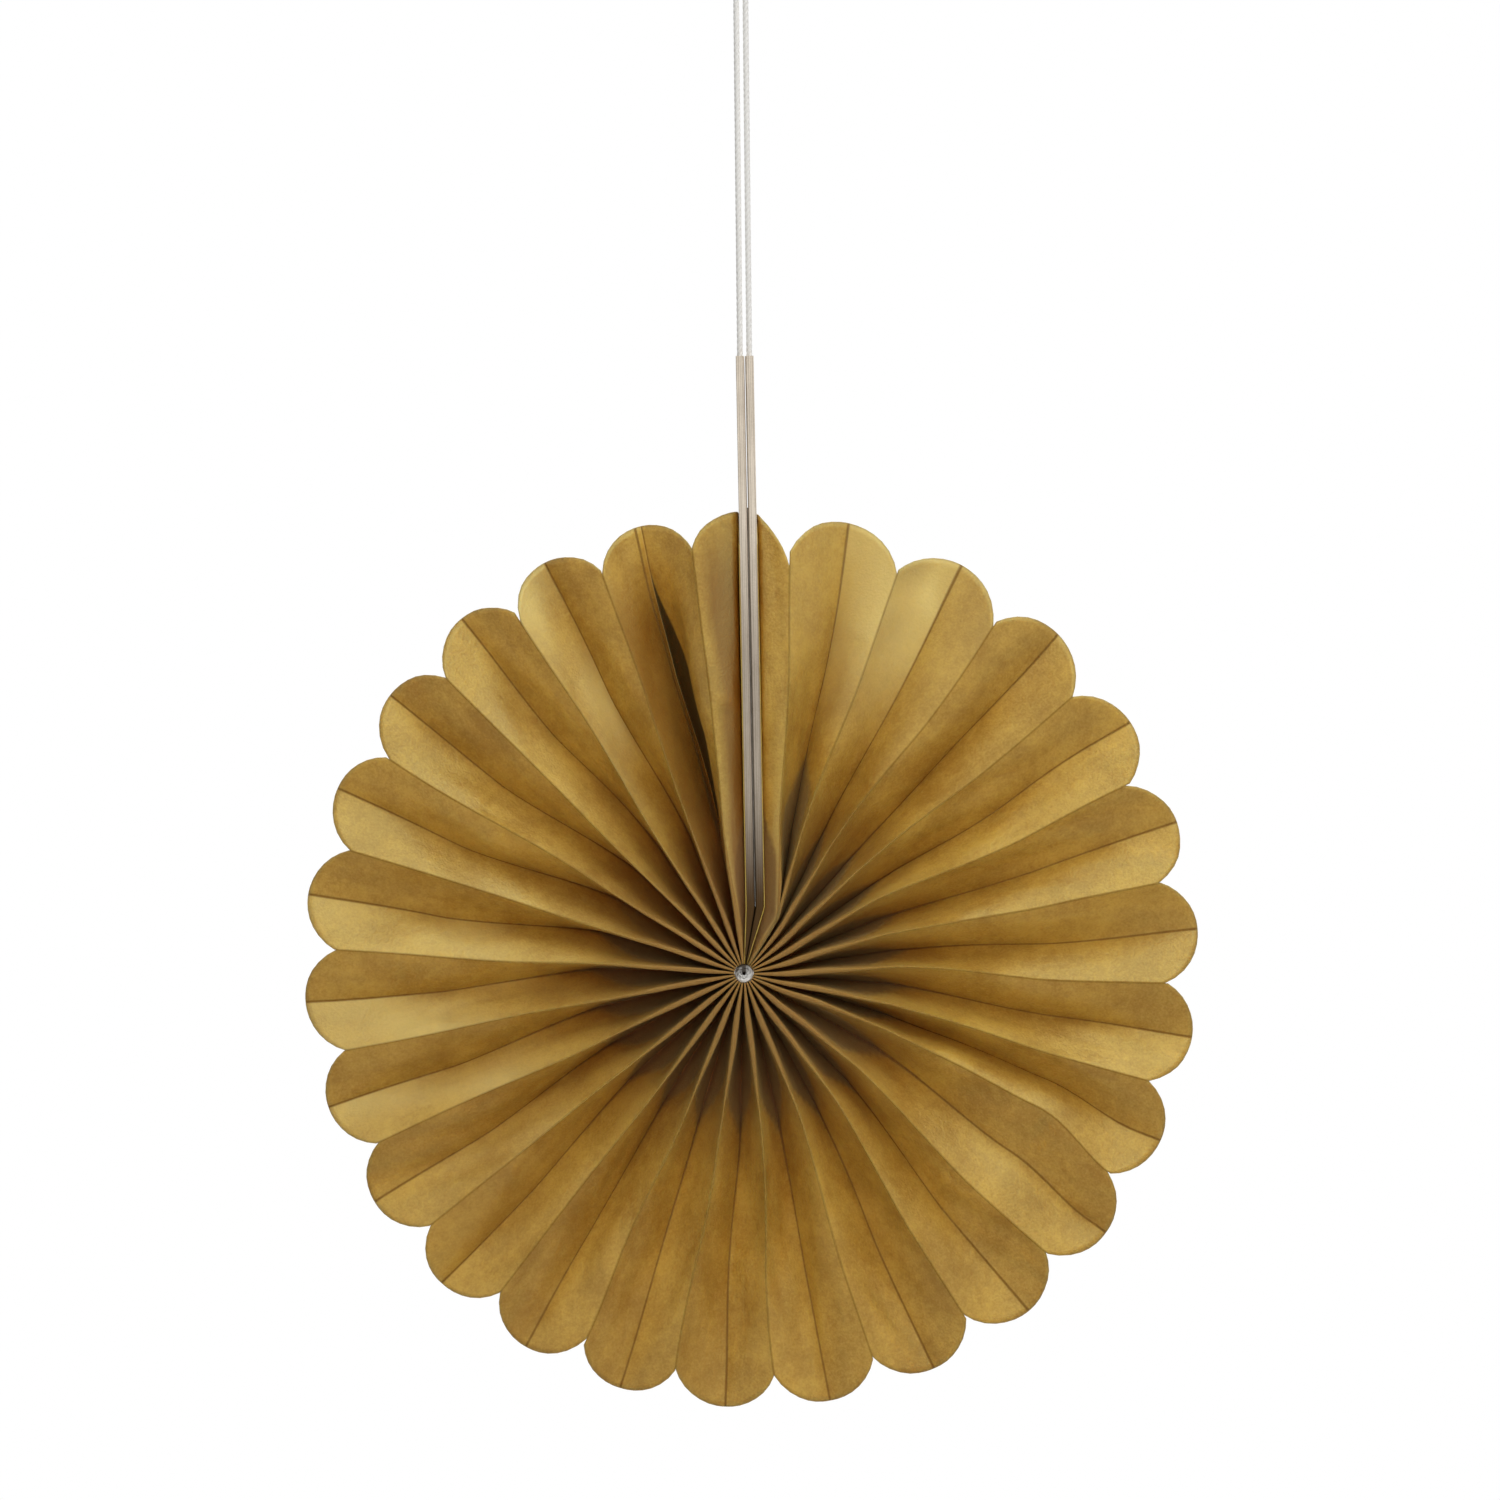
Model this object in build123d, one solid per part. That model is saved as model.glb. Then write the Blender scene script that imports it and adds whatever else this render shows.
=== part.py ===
from build123d import *
import math
import os

# Paper fan rosette on a hanging cord, in millimetres. X is to the right and Z is up, as it
# hangs, and its front looks along -Y. The origin is where the cord hangs on its pin.
# Bearings are degrees clockwise from straight up, seen from the front.

# Pleated sheet
PETALS = 26
TIP_RADIUS = 75.3  # from the rim's centre to the petal tips
NOTCH_DEPTH = 5.6  # how far the notches lie inside the tips
PLEAT_WIDTH = 10.4  # one panel, from its front fold to its back fold
PAPER = 0.15  # thickness of the sheet
EYE_RADIUS = 1.6  # open eye between the inner ends of the folds
HUB_LEFT = 1.2  # the folds' centre lies this far left of the rim's centre
HUB_DROP = 2.1  # and this far below it
FIRST_RIDGE = 6.6  # bearing of the first front fold, right of the strips
LAST_RIDGE = 6.4  # the last front fold, left of the strips: degrees left of straight up
SPACING_DRIFT = {1: 3.5, 2: -0.75, 3: 1.0, 5: 0.7}  # uneven spacing: degrees, by half waves
FOLD_STEPS = (22.0, 35.0, 52.0)  # radii at which the fold lines bend, outside the hub
FLATTEST = 0.9  # share of its width over which a panel may spread sideways
PINCH = 0.3  # share of the room beside a fold that half the paper may take

# Card strips on the two ends of the sheet
STRIP_WIDTH = 10.0
STRIP_THICKNESS = 1.42
STRIP_STANDOUT = 26.0  # how far they stand out above the rim
STRIP_TAPER = 11.0  # from the hub up to where they begin to be crushed thin
STRIP_FOOT = 2.4  # from the hub up to their pinched lower ends
STRIP_LEAN = 0.5  # degrees, lower end to the right

# Double-sided tape between the strips
TAPE_THICKNESS = 0.14
TAPE_WIDTH = 8.0
TAPE_LENGTH = 66.0
TAPE_FOOT = 1.0  # bare card between the taper and the tape

# Hanging cord and the thread in the eye
CORD_DIAMETER = 1.0
CORD_DROP = 70.0  # from the pin to the strips' upper ends
CORD_BURIED = 6.0  # length glued into each strip
CORD_FIT = 0.04  # glue round the buried cord
THREAD_DIAMETER = 0.5
RING_THICKNESS = 0.9  # the thread wound into a ring in front
RING_ROUNDING = 0.4
THREAD_SEAT = 0.05  # glue between the ring and the paper round it
THREAD_SETBACK = 0.2  # from the front folds back to the thread

# Places that follow from these sizes
RIM_Z = -(CORD_DROP + STRIP_STANDOUT + TIP_RADIUS)
HUB_X = -HUB_LEFT
HUB_Z = RIM_Z - HUB_DROP
STRIP_TOP_Z = -CORD_DROP
TAPER_Z = HUB_Z + STRIP_TAPER
STRIP_PITCH = STRIP_THICKNESS + TAPE_THICKNESS
PACK_HALF = STRIP_THICKNESS + TAPE_THICKNESS / 2  # half of both strips and their tape
LEAN_SLOPE = math.tan(math.radians(STRIP_LEAN))
SPARE = 0.4  # paper beyond the cut edges, before it is cut
INNER_RADIUS = EYE_RADIUS - SPARE
OUTER_RADIUS = TIP_RADIUS + HUB_LEFT + HUB_DROP + SPARE
RADII = (INNER_RADIUS, STRIP_TAPER, *FOLD_STEPS, OUTER_RADIUS)
RIGHT, LEFT = 1, -1


def around_hub(bearing, radius, aside=0.0, y=0.0):
    """The point at a bearing and radius about the hub, and a little to one side of that line."""
    angle = math.radians(bearing)
    x = HUB_X + radius * math.sin(angle) + aside * math.cos(angle)
    z = HUB_Z + radius * math.cos(angle) - aside * math.sin(angle)
    return Vector(x, y, z)


def strip_axis(z):
    """X of the middle of the two strips at a height: they lean a little."""
    return (STRIP_TOP_Z - z) * LEAN_SLOPE


def strip_side(side, radius):
    """Bearing and distance from the hub of the sheet's end, which follows a strip's outer face
    down to where the strip is crushed and then runs straight to the hub."""
    height = max(radius, STRIP_TAPER)
    x = strip_axis(HUB_Z + height) + side * (PACK_HALF + PAPER / 2) - HUB_X
    bearing = math.degrees(math.atan2(x, height))
    return bearing, math.hypot(x, height) * radius / height


def ridge_bearings():
    """Bearings of the front folds at the rim, a little unevenly spaced."""
    bearings = []
    for k in range(PETALS):
        share = k / (PETALS - 1)
        drift = sum(size * math.sin(waves * math.pi * share) for waves, size in SPACING_DRIFT.items())
        bearings.append(FIRST_RIDGE + (360 - LAST_RIDGE - FIRST_RIDGE) * share + drift)
    return bearings


def fold_places(radius):
    """Bearing and distance of every fold line at one radius: the end on the right strip, then
    front and back folds in turn, then the end on the left strip. Near the hub the strips take
    up room, so the folds beside them are pushed aside, less and less round the fan."""
    push = strip_side(RIGHT, radius)[0] - strip_side(RIGHT, OUTER_RADIUS)[0]
    ridges = ridge_bearings()
    valleys = [(a + b) / 2 for a, b in zip(ridges, ridges[1:])]
    places = []
    for bearing in sorted(ridges + valleys):
        fade = (1 - (bearing - FIRST_RIDGE) / 360) ** 3
        places.append((bearing + push * fade, radius))
    left_bearing, left_distance = strip_side(LEFT, radius)
    return [strip_side(RIGHT, radius), *places, (left_bearing + 360, left_distance)]


def sheet_section(radius):
    """Points of the sheet's front and back skins round the hub at one radius. A fold has two
    points on its outside, the width of its crest apart, and one on its inside. The sheet is as
    deep as a panel of fixed width has to be to span the room between two folds."""
    places = fold_places(radius)
    last = len(places) - 1
    front, back = [], []
    for j, (bearing, distance) in enumerate(places):
        beside = places[min(j + 1, last)][0] - places[max(j - 1, 0)][0]
        room = math.radians(beside) * distance / (1 if j in (0, last) else 2)
        depth = math.sqrt(PLEAT_WIDTH**2 - min(room, FLATTEST * PLEAT_WIDTH) ** 2)
        half = min(PAPER * PLEAT_WIDTH / depth / 2, PINCH * room)
        inside = depth * half / room
        y = depth / 2
        if j in (0, last):
            edge = STRIP_WIDTH / 2
            front.append(around_hub(bearing, distance, 0, edge - 2 * inside))
            back.append(around_hub(bearing, distance, 0, edge))
        elif j % 2:
            front.append(around_hub(bearing, distance, -half, -y))
            front.append(around_hub(bearing, distance, half, -y))
            back.append(around_hub(bearing, distance, 0, inside - y))
        else:
            front.append(around_hub(bearing, distance, 0, y - inside))
            back.append(around_hub(bearing, distance, -half, y))
            back.append(around_hub(bearing, distance, half, y))
    return front, back


def triangle(a, b, c):
    return Face(Wire.make_polygon([a, b, c]))


def panel_facets(line_a, line_b):
    """Two flat facets between two fold lines, each given by its inner and outer end. The paper
    twists a little there, and gives along the line from the front fold's inner end."""
    front, back = sorted((line_a, line_b), key=lambda line: line[0].Y)
    return [triangle(front[0], front[1], back[1]), triangle(front[0], back[1], back[0])]


def section_faces(front, back):
    """Faces that close the sheet across one section: two for each panel and one for each fold."""
    faces = []
    f, b = 0, 0
    for panel in range(2 * PETALS):
        faces += panel_facets((front[f], back[b]), (front[f + 1], back[b + 1]))
        f += 1
        b += 1
        if panel == 2 * PETALS - 1:
            break
        if panel % 2 == 0:
            faces.append(triangle(front[f], front[f + 1], back[b]))
            f += 1
        else:
            faces.append(triangle(front[f], back[b], back[b + 1]))
            b += 1
    return faces


def pleats():
    """The pleats before their petals are cut, with facets from each fold line to the next."""
    sections = [sheet_section(radius) for radius in RADII]
    faces = section_faces(*sections[0]) + section_faces(*sections[-1])
    for (front_in, back_in), (front_out, back_out) in zip(sections, sections[1:]):
        for inner, outer in ((front_in, front_out), (back_in, back_out)):
            lines = list(zip(inner, outer))
            for line_a, line_b in zip(lines, lines[1:]):
                faces += panel_facets(line_a, line_b)
        for end in (0, -1):
            faces += panel_facets((front_in[end], front_out[end]), (back_in[end], back_out[end]))
    return Solid(Shell(faces))


def on_fold(fold, rim_radius):
    """Where a fold line, seen from the front, reaches a distance from the rim's centre."""
    start = around_hub(*fold_places(RADII[-2])[fold])
    way = around_hub(*fold_places(RADII[-1])[fold]) - start
    off = start - Vector(0, 0, RIM_Z)
    half_b = off.dot(way)
    c = off.dot(off) - rim_radius**2
    t = (math.sqrt(half_b**2 - way.dot(way) * c) - half_b) / way.dot(way)
    point = start + way * t
    return point.X, point.Z


def petal_cutter():
    """The scalloped outline of the fan, with its eye, through the whole depth of the pleats.
    A petal is one arc from notch to notch, and half an arc beside each strip."""
    notches = [on_fold(1 + 2 * k, TIP_RADIUS - NOTCH_DEPTH) for k in range(PETALS)]
    tips = [on_fold(2 + 2 * k, TIP_RADIUS) for k in range(PETALS - 1)]
    rim_top = RIM_Z + TIP_RADIUS
    right_tip = (strip_axis(rim_top) + PACK_HALF, rim_top)
    left_tip = (strip_axis(rim_top) - PACK_HALF, rim_top)
    edges = [Line(left_tip, right_tip), TangentArc(right_tip, notches[0], tangent=(1, 0))]
    for k in range(PETALS - 1):
        edges.append(ThreePointArc(notches[k], tips[k], notches[k + 1]))
    edges.append(TangentArc(left_tip, notches[-1], tangent=(-1, 0)))
    outline = make_face(edges) - Pos(HUB_X, HUB_Z) * Circle(EYE_RADIUS)
    return extrude(Plane.XZ * outline, PLEAT_WIDTH, both=True)


def leaning_slab(low_x, high_x, low_z, high_z, width):
    """A slab between two distances from the strips' middle and two heights, leaning with them."""
    low, high = strip_axis(low_z), strip_axis(high_z)
    corners = [(low + low_x, low_z), (low + high_x, low_z), (high + high_x, high_z), (high + low_x, high_z)]
    return extrude(Plane.XZ * make_face(Polyline(*corners, close=True)), width / 2, both=True)


def glued_end(side):
    """The end panel of the sheet, glued to a strip's outer face and cut round at its top."""
    top = RIM_Z + TIP_RADIUS - PAPER
    near, far = sorted((side * PACK_HALF, side * (PACK_HALF + PAPER)))
    back, notch = (STRIP_WIDTH / 2, top), (-STRIP_WIDTH / 2, top - NOTCH_DEPTH)
    outline = TangentArc(back, notch, tangent=(-1, 0))
    outline += Polyline(notch, (notch[0], TAPER_Z), (back[0], TAPER_Z), back)
    cutter = extrude(Plane.YZ * make_face(outline), TIP_RADIUS, both=True)
    return leaning_slab(near, far, TAPER_Z, top, STRIP_WIDTH) & cutter


def pleated_paper():
    """The whole sheet: cut pleats and the two glued ends."""
    return (pleats() & petal_cutter()) + glued_end(RIGHT) + glued_end(LEFT)


def card_strip(side):
    """One strip, edge on to the front, with a blind hole for the cord in its upper end. Its lower
    end is crushed to a wedge between the folds, towards the eye."""
    inner, outer = side * TAPE_THICKNESS / 2, side * PACK_HALF
    axis_x = strip_axis(TAPER_Z)
    crush = STRIP_FOOT / STRIP_TAPER
    foot = [(HUB_X + (axis_x + x - HUB_X) * crush, HUB_Z + STRIP_FOOT) for x in (inner, outer)]
    taper = [(axis_x + x, TAPER_Z) for x in (inner, outer)]
    wedge = make_face(Polyline(foot[0], foot[1], taper[1], taper[0], close=True))
    strip = leaning_slab(inner, outer, TAPER_Z, STRIP_TOP_Z, STRIP_WIDTH)
    strip += extrude(Plane.XZ * wedge, STRIP_WIDTH / 2, both=True)
    hole = Cylinder(CORD_DIAMETER / 2 + CORD_FIT, 2 * (CORD_BURIED + CORD_FIT))
    return strip - Pos(side * STRIP_PITCH / 2, 0, STRIP_TOP_Z) * hole


def joining_tape():
    """Tape that holds the two strips face to face."""
    half = TAPE_THICKNESS / 2
    foot = TAPER_Z + TAPE_FOOT
    return leaning_slab(-half, half, foot, foot + TAPE_LENGTH, TAPE_WIDTH)


def hanging_cord():
    """One taut cord, out of the left strip, over the pin and back into the right strip."""
    bend = STRIP_PITCH / 2
    shoulder = CORD_DIAMETER / 2 - bend
    bottom = STRIP_TOP_Z - CORD_BURIED
    up = Line((-bend, 0, bottom), (-bend, 0, shoulder))
    over = ThreePointArc(up @ 1, (0, 0, CORD_DIAMETER / 2), (bend, 0, shoulder))
    down = Line(over @ 1, (bend, 0, bottom))
    path = Wire([up, over, down])
    cord = sweep(Plane(path @ 0, z_dir=path % 0) * Circle(CORD_DIAMETER / 2), path)
    expected = math.pi * CORD_DIAMETER**2 / 4 * path.length
    print(f"cord: bend radius {bend:.2f}, length {path.length:.1f}, free {2 * CORD_DROP:.1f}, "
          f"volume {cord.volume:.2f}, section times length {expected:.2f}")
    return cord


def centre_thread():
    """The thread drawn tight through the eye: a wound ring in front, two strands and a knot behind."""
    outer = EYE_RADIUS - THREAD_SEAT
    ring_y = THREAD_SETBACK + RING_THICKNESS / 2 - PLEAT_WIDTH / 2
    knot_y = PLEAT_WIDTH / 2 - THREAD_SETBACK - outer
    ring = Cylinder(outer, RING_THICKNESS) - Cylinder(outer - RING_THICKNESS, RING_THICKNESS)
    ring = fillet(ring.edges().group_by(Axis.Z)[-1], RING_ROUNDING)
    tie = Pos(HUB_X, ring_y, HUB_Z) * Rot(90, 0, 0) * ring
    for side in (LEFT, RIGHT):
        strand = Rot(90, 0, 0) * Cylinder(THREAD_DIAMETER / 2, knot_y - ring_y)
        tie += Pos(HUB_X + side * (outer - RING_THICKNESS / 2), (ring_y + knot_y) / 2, HUB_Z) * strand
    return tie + Pos(HUB_X, knot_y, HUB_Z) * Sphere(outer)


os.makedirs("parts", exist_ok=True)
export_step(pleated_paper(), "parts/pleated_paper.step")
export_step(card_strip(LEFT), "parts/left_card_strip.step")
export_step(card_strip(RIGHT), "parts/right_card_strip.step")
export_step(joining_tape(), "parts/joining_tape.step")
export_step(hanging_cord(), "parts/hanging_cord.step")
export_step(centre_thread(), "parts/centre_thread.step")
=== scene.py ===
# %% [markdown]
# # A paper fan rosette on its cord
# The solids of the fan are packed already, and they stay where they are. This lesson dresses
# them: each step makes one piece as a surface worked out with numpy, gives it a finish and lets
# it stand for its solid. Sizes are in millimetres until a mesh is made, and bearings are degrees
# clockwise from straight up, seen from the front.

# %% Load the solids as a fixed frame
import math

import bpy
import numpy as np
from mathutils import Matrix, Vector


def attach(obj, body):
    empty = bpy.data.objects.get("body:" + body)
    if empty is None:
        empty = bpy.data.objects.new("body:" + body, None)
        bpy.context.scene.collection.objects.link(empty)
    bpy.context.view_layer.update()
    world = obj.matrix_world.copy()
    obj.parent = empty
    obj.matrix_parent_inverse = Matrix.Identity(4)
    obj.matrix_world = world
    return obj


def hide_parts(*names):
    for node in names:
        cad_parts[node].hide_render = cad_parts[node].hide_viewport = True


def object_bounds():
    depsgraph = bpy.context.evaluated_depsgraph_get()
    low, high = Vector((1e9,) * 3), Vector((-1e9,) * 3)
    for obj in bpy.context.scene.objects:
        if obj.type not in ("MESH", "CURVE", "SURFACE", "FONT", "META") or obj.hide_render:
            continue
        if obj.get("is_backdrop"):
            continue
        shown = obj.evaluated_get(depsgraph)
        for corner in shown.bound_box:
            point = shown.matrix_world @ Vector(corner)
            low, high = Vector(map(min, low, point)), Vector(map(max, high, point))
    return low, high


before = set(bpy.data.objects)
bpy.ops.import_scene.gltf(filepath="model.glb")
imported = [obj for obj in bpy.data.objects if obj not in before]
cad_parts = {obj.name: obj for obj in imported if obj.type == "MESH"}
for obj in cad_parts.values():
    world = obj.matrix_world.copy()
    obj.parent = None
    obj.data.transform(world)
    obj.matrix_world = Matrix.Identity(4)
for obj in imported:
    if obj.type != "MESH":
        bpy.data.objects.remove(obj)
cad_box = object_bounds()
MM = 0.001
scene = bpy.context.scene
scene.view_settings.view_transform = "Standard"
print("solids:", sorted(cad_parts))

# %% [markdown]
# ## Camera
# The fan hangs and is seen straight from the front, from far away through a long lens, so the
# pleats all show the same. The cord leans a little in the view, because the camera was held a
# little askew, so it is the camera that rolls here and not the fan.

# %% Camera
PIXEL = 0.168 * MM  # one pixel of a 1500 pixel frame, at the fan
VIEW_WIDTH = 1500 * PIXEL
VIEW_X, VIEW_Z = 0.2 * MM, -136 * MM  # the middle of the view
CAMERA_BACK = 1.4
CAMERA_ROLL = math.radians(0.61)

camera = bpy.data.objects.new("front_camera", bpy.data.cameras.new("front_camera"))
camera.data.sensor_width = 36.0
camera.data.lens = camera.data.sensor_width * CAMERA_BACK / VIEW_WIDTH
camera.location = (VIEW_X, -CAMERA_BACK, VIEW_Z)
camera.rotation_euler = (math.radians(90), CAMERA_ROLL, 0)
scene.collection.objects.link(camera)
scene.camera = camera
print(f"lens {camera.data.lens:.0f} mm, view {VIEW_WIDTH / MM:.0f} mm wide")

# %% [markdown]
# ## Shader sums
# A finish is a sum of patterns. Blender does such sums with Math nodes, which are slow to write
# one by one. This class wraps a socket, so that Python's own signs add the nodes, and a few
# methods add the patterns that the finishes share.

# %% A socket that Python can do sums with
class Value:
    """A socket of a node tree. Signs on it add Math nodes, and node() adds any other node."""

    def __init__(self, tree, socket=None):
        self.tree, self.socket = tree, socket

    def node(self, kind, settings=None, inputs=None, output=0):
        """One output of a new node, given its type, its settings and what goes into its sockets."""
        made = self.tree.nodes.new(kind)
        for name, setting in (settings or {}).items():
            setattr(made, name, setting)
        for name, value in (inputs or {}).items():
            if isinstance(value, Value):
                self.tree.links.new(value.socket, made.inputs[name])
            else:
                made.inputs[name].default_value = value
        return Value(self.tree, made.outputs[output] if made.outputs else None)

    def math(self, operation, *values):
        return self.node("ShaderNodeMath", {"operation": operation}, dict(enumerate(values)))

    def __add__(self, other):
        return self.math("ADD", self, other)

    def __sub__(self, other):
        return self.math("SUBTRACT", self, other)

    def __rsub__(self, other):
        return self.math("SUBTRACT", other, self)

    def __mul__(self, other):
        return self.math("MULTIPLY", self, other)

    __radd__ = __add__
    __rmul__ = __mul__

    def fade(self, start, end):
        """0 at start and 1 at end, smoothly, and clamped outside."""
        return self.node("ShaderNodeMapRange", {"interpolation_type": "SMOOTHSTEP"},
                         {"Value": self, "From Min": start, "From Max": end})

    def attribute(self, name):
        """The numbers that a piece's points hold under a name."""
        return self.node("ShaderNodeAttribute", {"attribute_name": name}, output=2)

    def noise(self, scale, detail=3.0, stretch=(1, 1, 1)):
        """Soft noise over the piece's own place: scale is in patches for each metre."""
        place = self.node("ShaderNodeTexCoord", output=3)
        place = self.node("ShaderNodeMapping", None, {"Vector": place, "Scale": stretch})
        return self.node("ShaderNodeTexNoise", None,
                         {"Vector": place, "Scale": scale, "Detail": detail})

    def mix(self, colour_a, colour_b):
        """Colour a where this value is 0 and colour b where it is 1."""
        return self.node("ShaderNodeMix", {"data_type": "RGBA"}, {0: self, 6: colour_a, 7: colour_b}, 2)

    def bump(self, distance):
        """A normal that follows this value as a height, where 1 is the distance in metres."""
        return self.node("ShaderNodeBump", None,
                         {"Height": self, "Distance": distance, "Strength": 1.0})


def finish_of(name, build):
    """A material whose Principled sockets are what build(value) returns."""
    material = bpy.data.materials.new(name)
    material.use_nodes = True
    tree = material.node_tree
    tree.nodes.clear()
    start = Value(tree)
    surface = start.node("ShaderNodeBsdfPrincipled", None, build(start))
    start.node("ShaderNodeOutputMaterial", None, {"Surface": surface})
    print(f"finish {name}: {len(tree.nodes)} nodes")
    return material


# %% [markdown]
# ## From arrays to meshes
# Every piece here is a grid of points, so one helper numbers the quads between neighbours and
# another one hands points and faces to Blender, whole arrays at a time.

# %% Grids and pieces
def grid_faces(rows, columns):
    """Quads between neighbouring points of a grid that is stored row by row, where each row closes
    to a ring. They face the way that the rows' direction crossed with the columns' points."""
    r, c = np.meshgrid(np.arange(rows - 1), np.arange(columns), indexing="ij")
    d = (c + 1) % columns
    here, beyond = r * columns, (r + 1) * columns
    return np.stack([here + c, beyond + c, beyond + d, here + d], -1).reshape(-1, 4)


def cap_faces(ring, centre):
    """Triangles from a ring of point numbers to the number of the point in its middle."""
    return np.stack([ring, np.roll(ring, -1), np.full(len(ring), centre)], -1)


def make_piece(name, points, faces, material, nodes, values):
    """A smooth mesh object from points in millimetres and lists of faces. values are numbers
    for each point that its finish reads. It rides on the one body and stands for the nodes."""
    mesh = bpy.data.meshes.new(name)
    mesh.from_pydata(points * MM, [], [face for group in faces for face in group.tolist()])
    mesh.polygons.foreach_set("use_smooth", np.ones(len(mesh.polygons), bool))
    for key, numbers in values.items():
        mesh.attributes.new(key, "FLOAT", "POINT").data.foreach_set("value", np.float32(numbers))
    mesh.materials.append(material)
    piece = bpy.data.objects.new(name, mesh)
    scene.collection.objects.link(piece)
    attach(piece, "root")
    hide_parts(*nodes)
    triangles = sum(len(group) * (group.shape[1] - 2) for group in faces)
    print(f"{name}: {len(points)} points, {triangles} triangles")
    return piece


# %% [markdown]
# ## Hanging cord
# One white cotton cord comes out of the end of each strip, and its two strands run up, taut and
# side by side, over a pin. A curve with a round bevel would look like wire, so the cord's own
# line is a NURBS curve and a twisted profile of three plies is carried along it.

# %% The cord's line
CORD_DIAMETER = 1.0
STRAND_X = 0.78  # from the middle to each strand
STRIP_TOP_Z = -70.0
CORD_START = STRIP_TOP_Z - 0.6  # a little inside the strips' holes
cord_run = [(STRAND_X, CORD_START), (STRAND_X, -6.0), (STRAND_X, -1.0), (STRAND_X, 0.5)]
cord_route = [(-x, z) for x, z in cord_run] + cord_run[::-1]


def route_points(name, route, steps):
    """Points along a NURBS curve of order 3 that has the route's points (x, z) as its control
    points, read from the curve that Blender makes of them."""
    curve = bpy.data.curves.new(name, "CURVE")
    curve.dimensions = "3D"
    curve.resolution_u = steps
    spline = curve.splines.new("NURBS")
    spline.points.add(len(route) - 1)
    spline.points.foreach_set("co", [v for x, z in route for v in (x * MM, 0, z * MM, 1)])
    spline.order_u = 3
    spline.use_endpoint_u = True
    line = bpy.data.objects.new(name, curve)
    mesh = bpy.data.meshes.new_from_object(line)
    points = np.zeros(3 * len(mesh.vertices))
    mesh.vertices.foreach_get("co", points)
    bpy.data.objects.remove(line)
    bpy.data.meshes.remove(mesh)
    return points.reshape(-1, 3) / MM


def run_along(line):
    """How far along a line each of its points lies."""
    return np.concatenate([[0], np.cumsum(np.linalg.norm(np.diff(line, axis=0), axis=1))])


cord_line = route_points("cord_line", cord_route, 120)

# %% The cord's finish
def cotton(v):
    """White cotton: fine fibres along the plies, greyer with painted shade between them, and
    darker with soil and painted shade.
    """
    fibre = v.noise(2600, 3, (1, 1, 0.35))
    # painted shade between the plies, with the fibres' own tone
    shade = 0.45 * v.attribute("between_plies") + 0.35 * fibre
    colour = shade.mix((0.93, 0.92, 0.89, 1), (0.78, 0.75, 0.70, 1))
    return {"Base Color": v.attribute("soil_and_painted_shade").mix(colour, (0.05, 0.035, 0.02, 1)),
            "Roughness": 0.85, "Specular IOR Level": 0.2, "Sheen Weight": 0.25,
            "Normal": fibre.bump(0.00006)}


cotton_finish = finish_of("white_cotton_twist", cotton)

# %% The plied cord
def plied_tube(line, radius, plies, pitch, around=18, groove=0.22):
    """A profile of a few round plies, carried along a flat line in the XZ plane and twisted once
    for each pitch of length. Its radius is full at the middle of a ply and smaller by the groove
    between two plies, as 1 less the size of a sine, to the power 1.6. Returns points, faces and how
    far a point lies into a groove."""
    along = np.gradient(line, axis=0)
    along /= np.linalg.norm(along, axis=1, keepdims=True)
    aside = np.cross([0, 1, 0], along)
    turn = np.linspace(0, 2 * np.pi, around, endpoint=False)
    twist = 2 * np.pi * run_along(line)[:, None] / pitch
    lobe = np.abs(np.sin(plies * (turn[None, :] - twist) / 2))
    reach = radius * (1 - groove * (1 - lobe) ** 1.6)
    points = line[:, None] + reach[..., None] * (np.cos(turn)[None, :, None] * aside[:, None]
                                                 + np.sin(turn)[None, :, None] * np.array([0, 1.0, 0]))
    points = np.concatenate([points.reshape(-1, 3), line[[0, -1]]])
    count = len(line) * around
    ring = np.arange(around)
    faces = [grid_faces(len(line), around), cap_faces(ring, count),
             cap_faces(ring[::-1] + count - around, count + 1)]
    return points, faces, np.concatenate([(1 - lobe).ravel(), [0, 0]])


def evenly(line, step):
    """The same line with points a fixed step apart along it."""
    run = run_along(line)
    places = np.linspace(0, run[-1], int(run[-1] / step) + 1)
    return np.stack([np.interp(places, run, line[:, k]) for k in range(3)], -1)


cord_points, cord_faces, cord_grooves = plied_tube(
    evenly(cord_line, 0.16), CORD_DIAMETER / 2, plies=3, pitch=3.2)
cord = make_piece("plied_cord", cord_points, cord_faces, cotton_finish,
                  ["hanging_cord"], {"between_plies": cord_grooves})

# %% [markdown]
# ## Fold lines of the sheet
# One sheet is folded into 52 panels. Front folds run to the notches between petals and back folds
# to the petals' tips. The petals are a little unevenly spaced, and near the hub the two strips
# take up room and push the folds beside them aside. The sizes are the solid's own. What thin paper
# does by itself is added here: folds that turn and lean near the hub, a petal that laps over its
# neighbour, and a pocket beside the strips.

# %% Sizes of the sheet and the strips
PETALS = 26
PANELS = 2 * PETALS
TIP_RADIUS, NOTCH_DEPTH, EYE_RADIUS = 75.3, 5.6, 1.6
PLEAT_WIDTH, PAPER = 10.4, 0.15
RIM_Z = -171.3  # height of the rim's centre
HUB_X, HUB_Z = -1.2, -173.4  # where the folds meet
FIRST_RIDGE, LAST_RIDGE = 6.6, 353.6  # bearings of the front folds beside the strips
SPACING_DRIFT = {1: 3.5, 2: -0.75, 3: 1.0, 5: 0.7}  # uneven spacing: degrees, by half waves
STRIP_WIDTH, STRIP_THICKNESS, TAPE_THICKNESS = 10.0, 1.42, 0.14
STRIP_TAPER = 11.0  # from the hub up to where the strips begin to be crushed thin
STRIP_LEAN = 0.5  # degrees, lower end to the right
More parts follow.
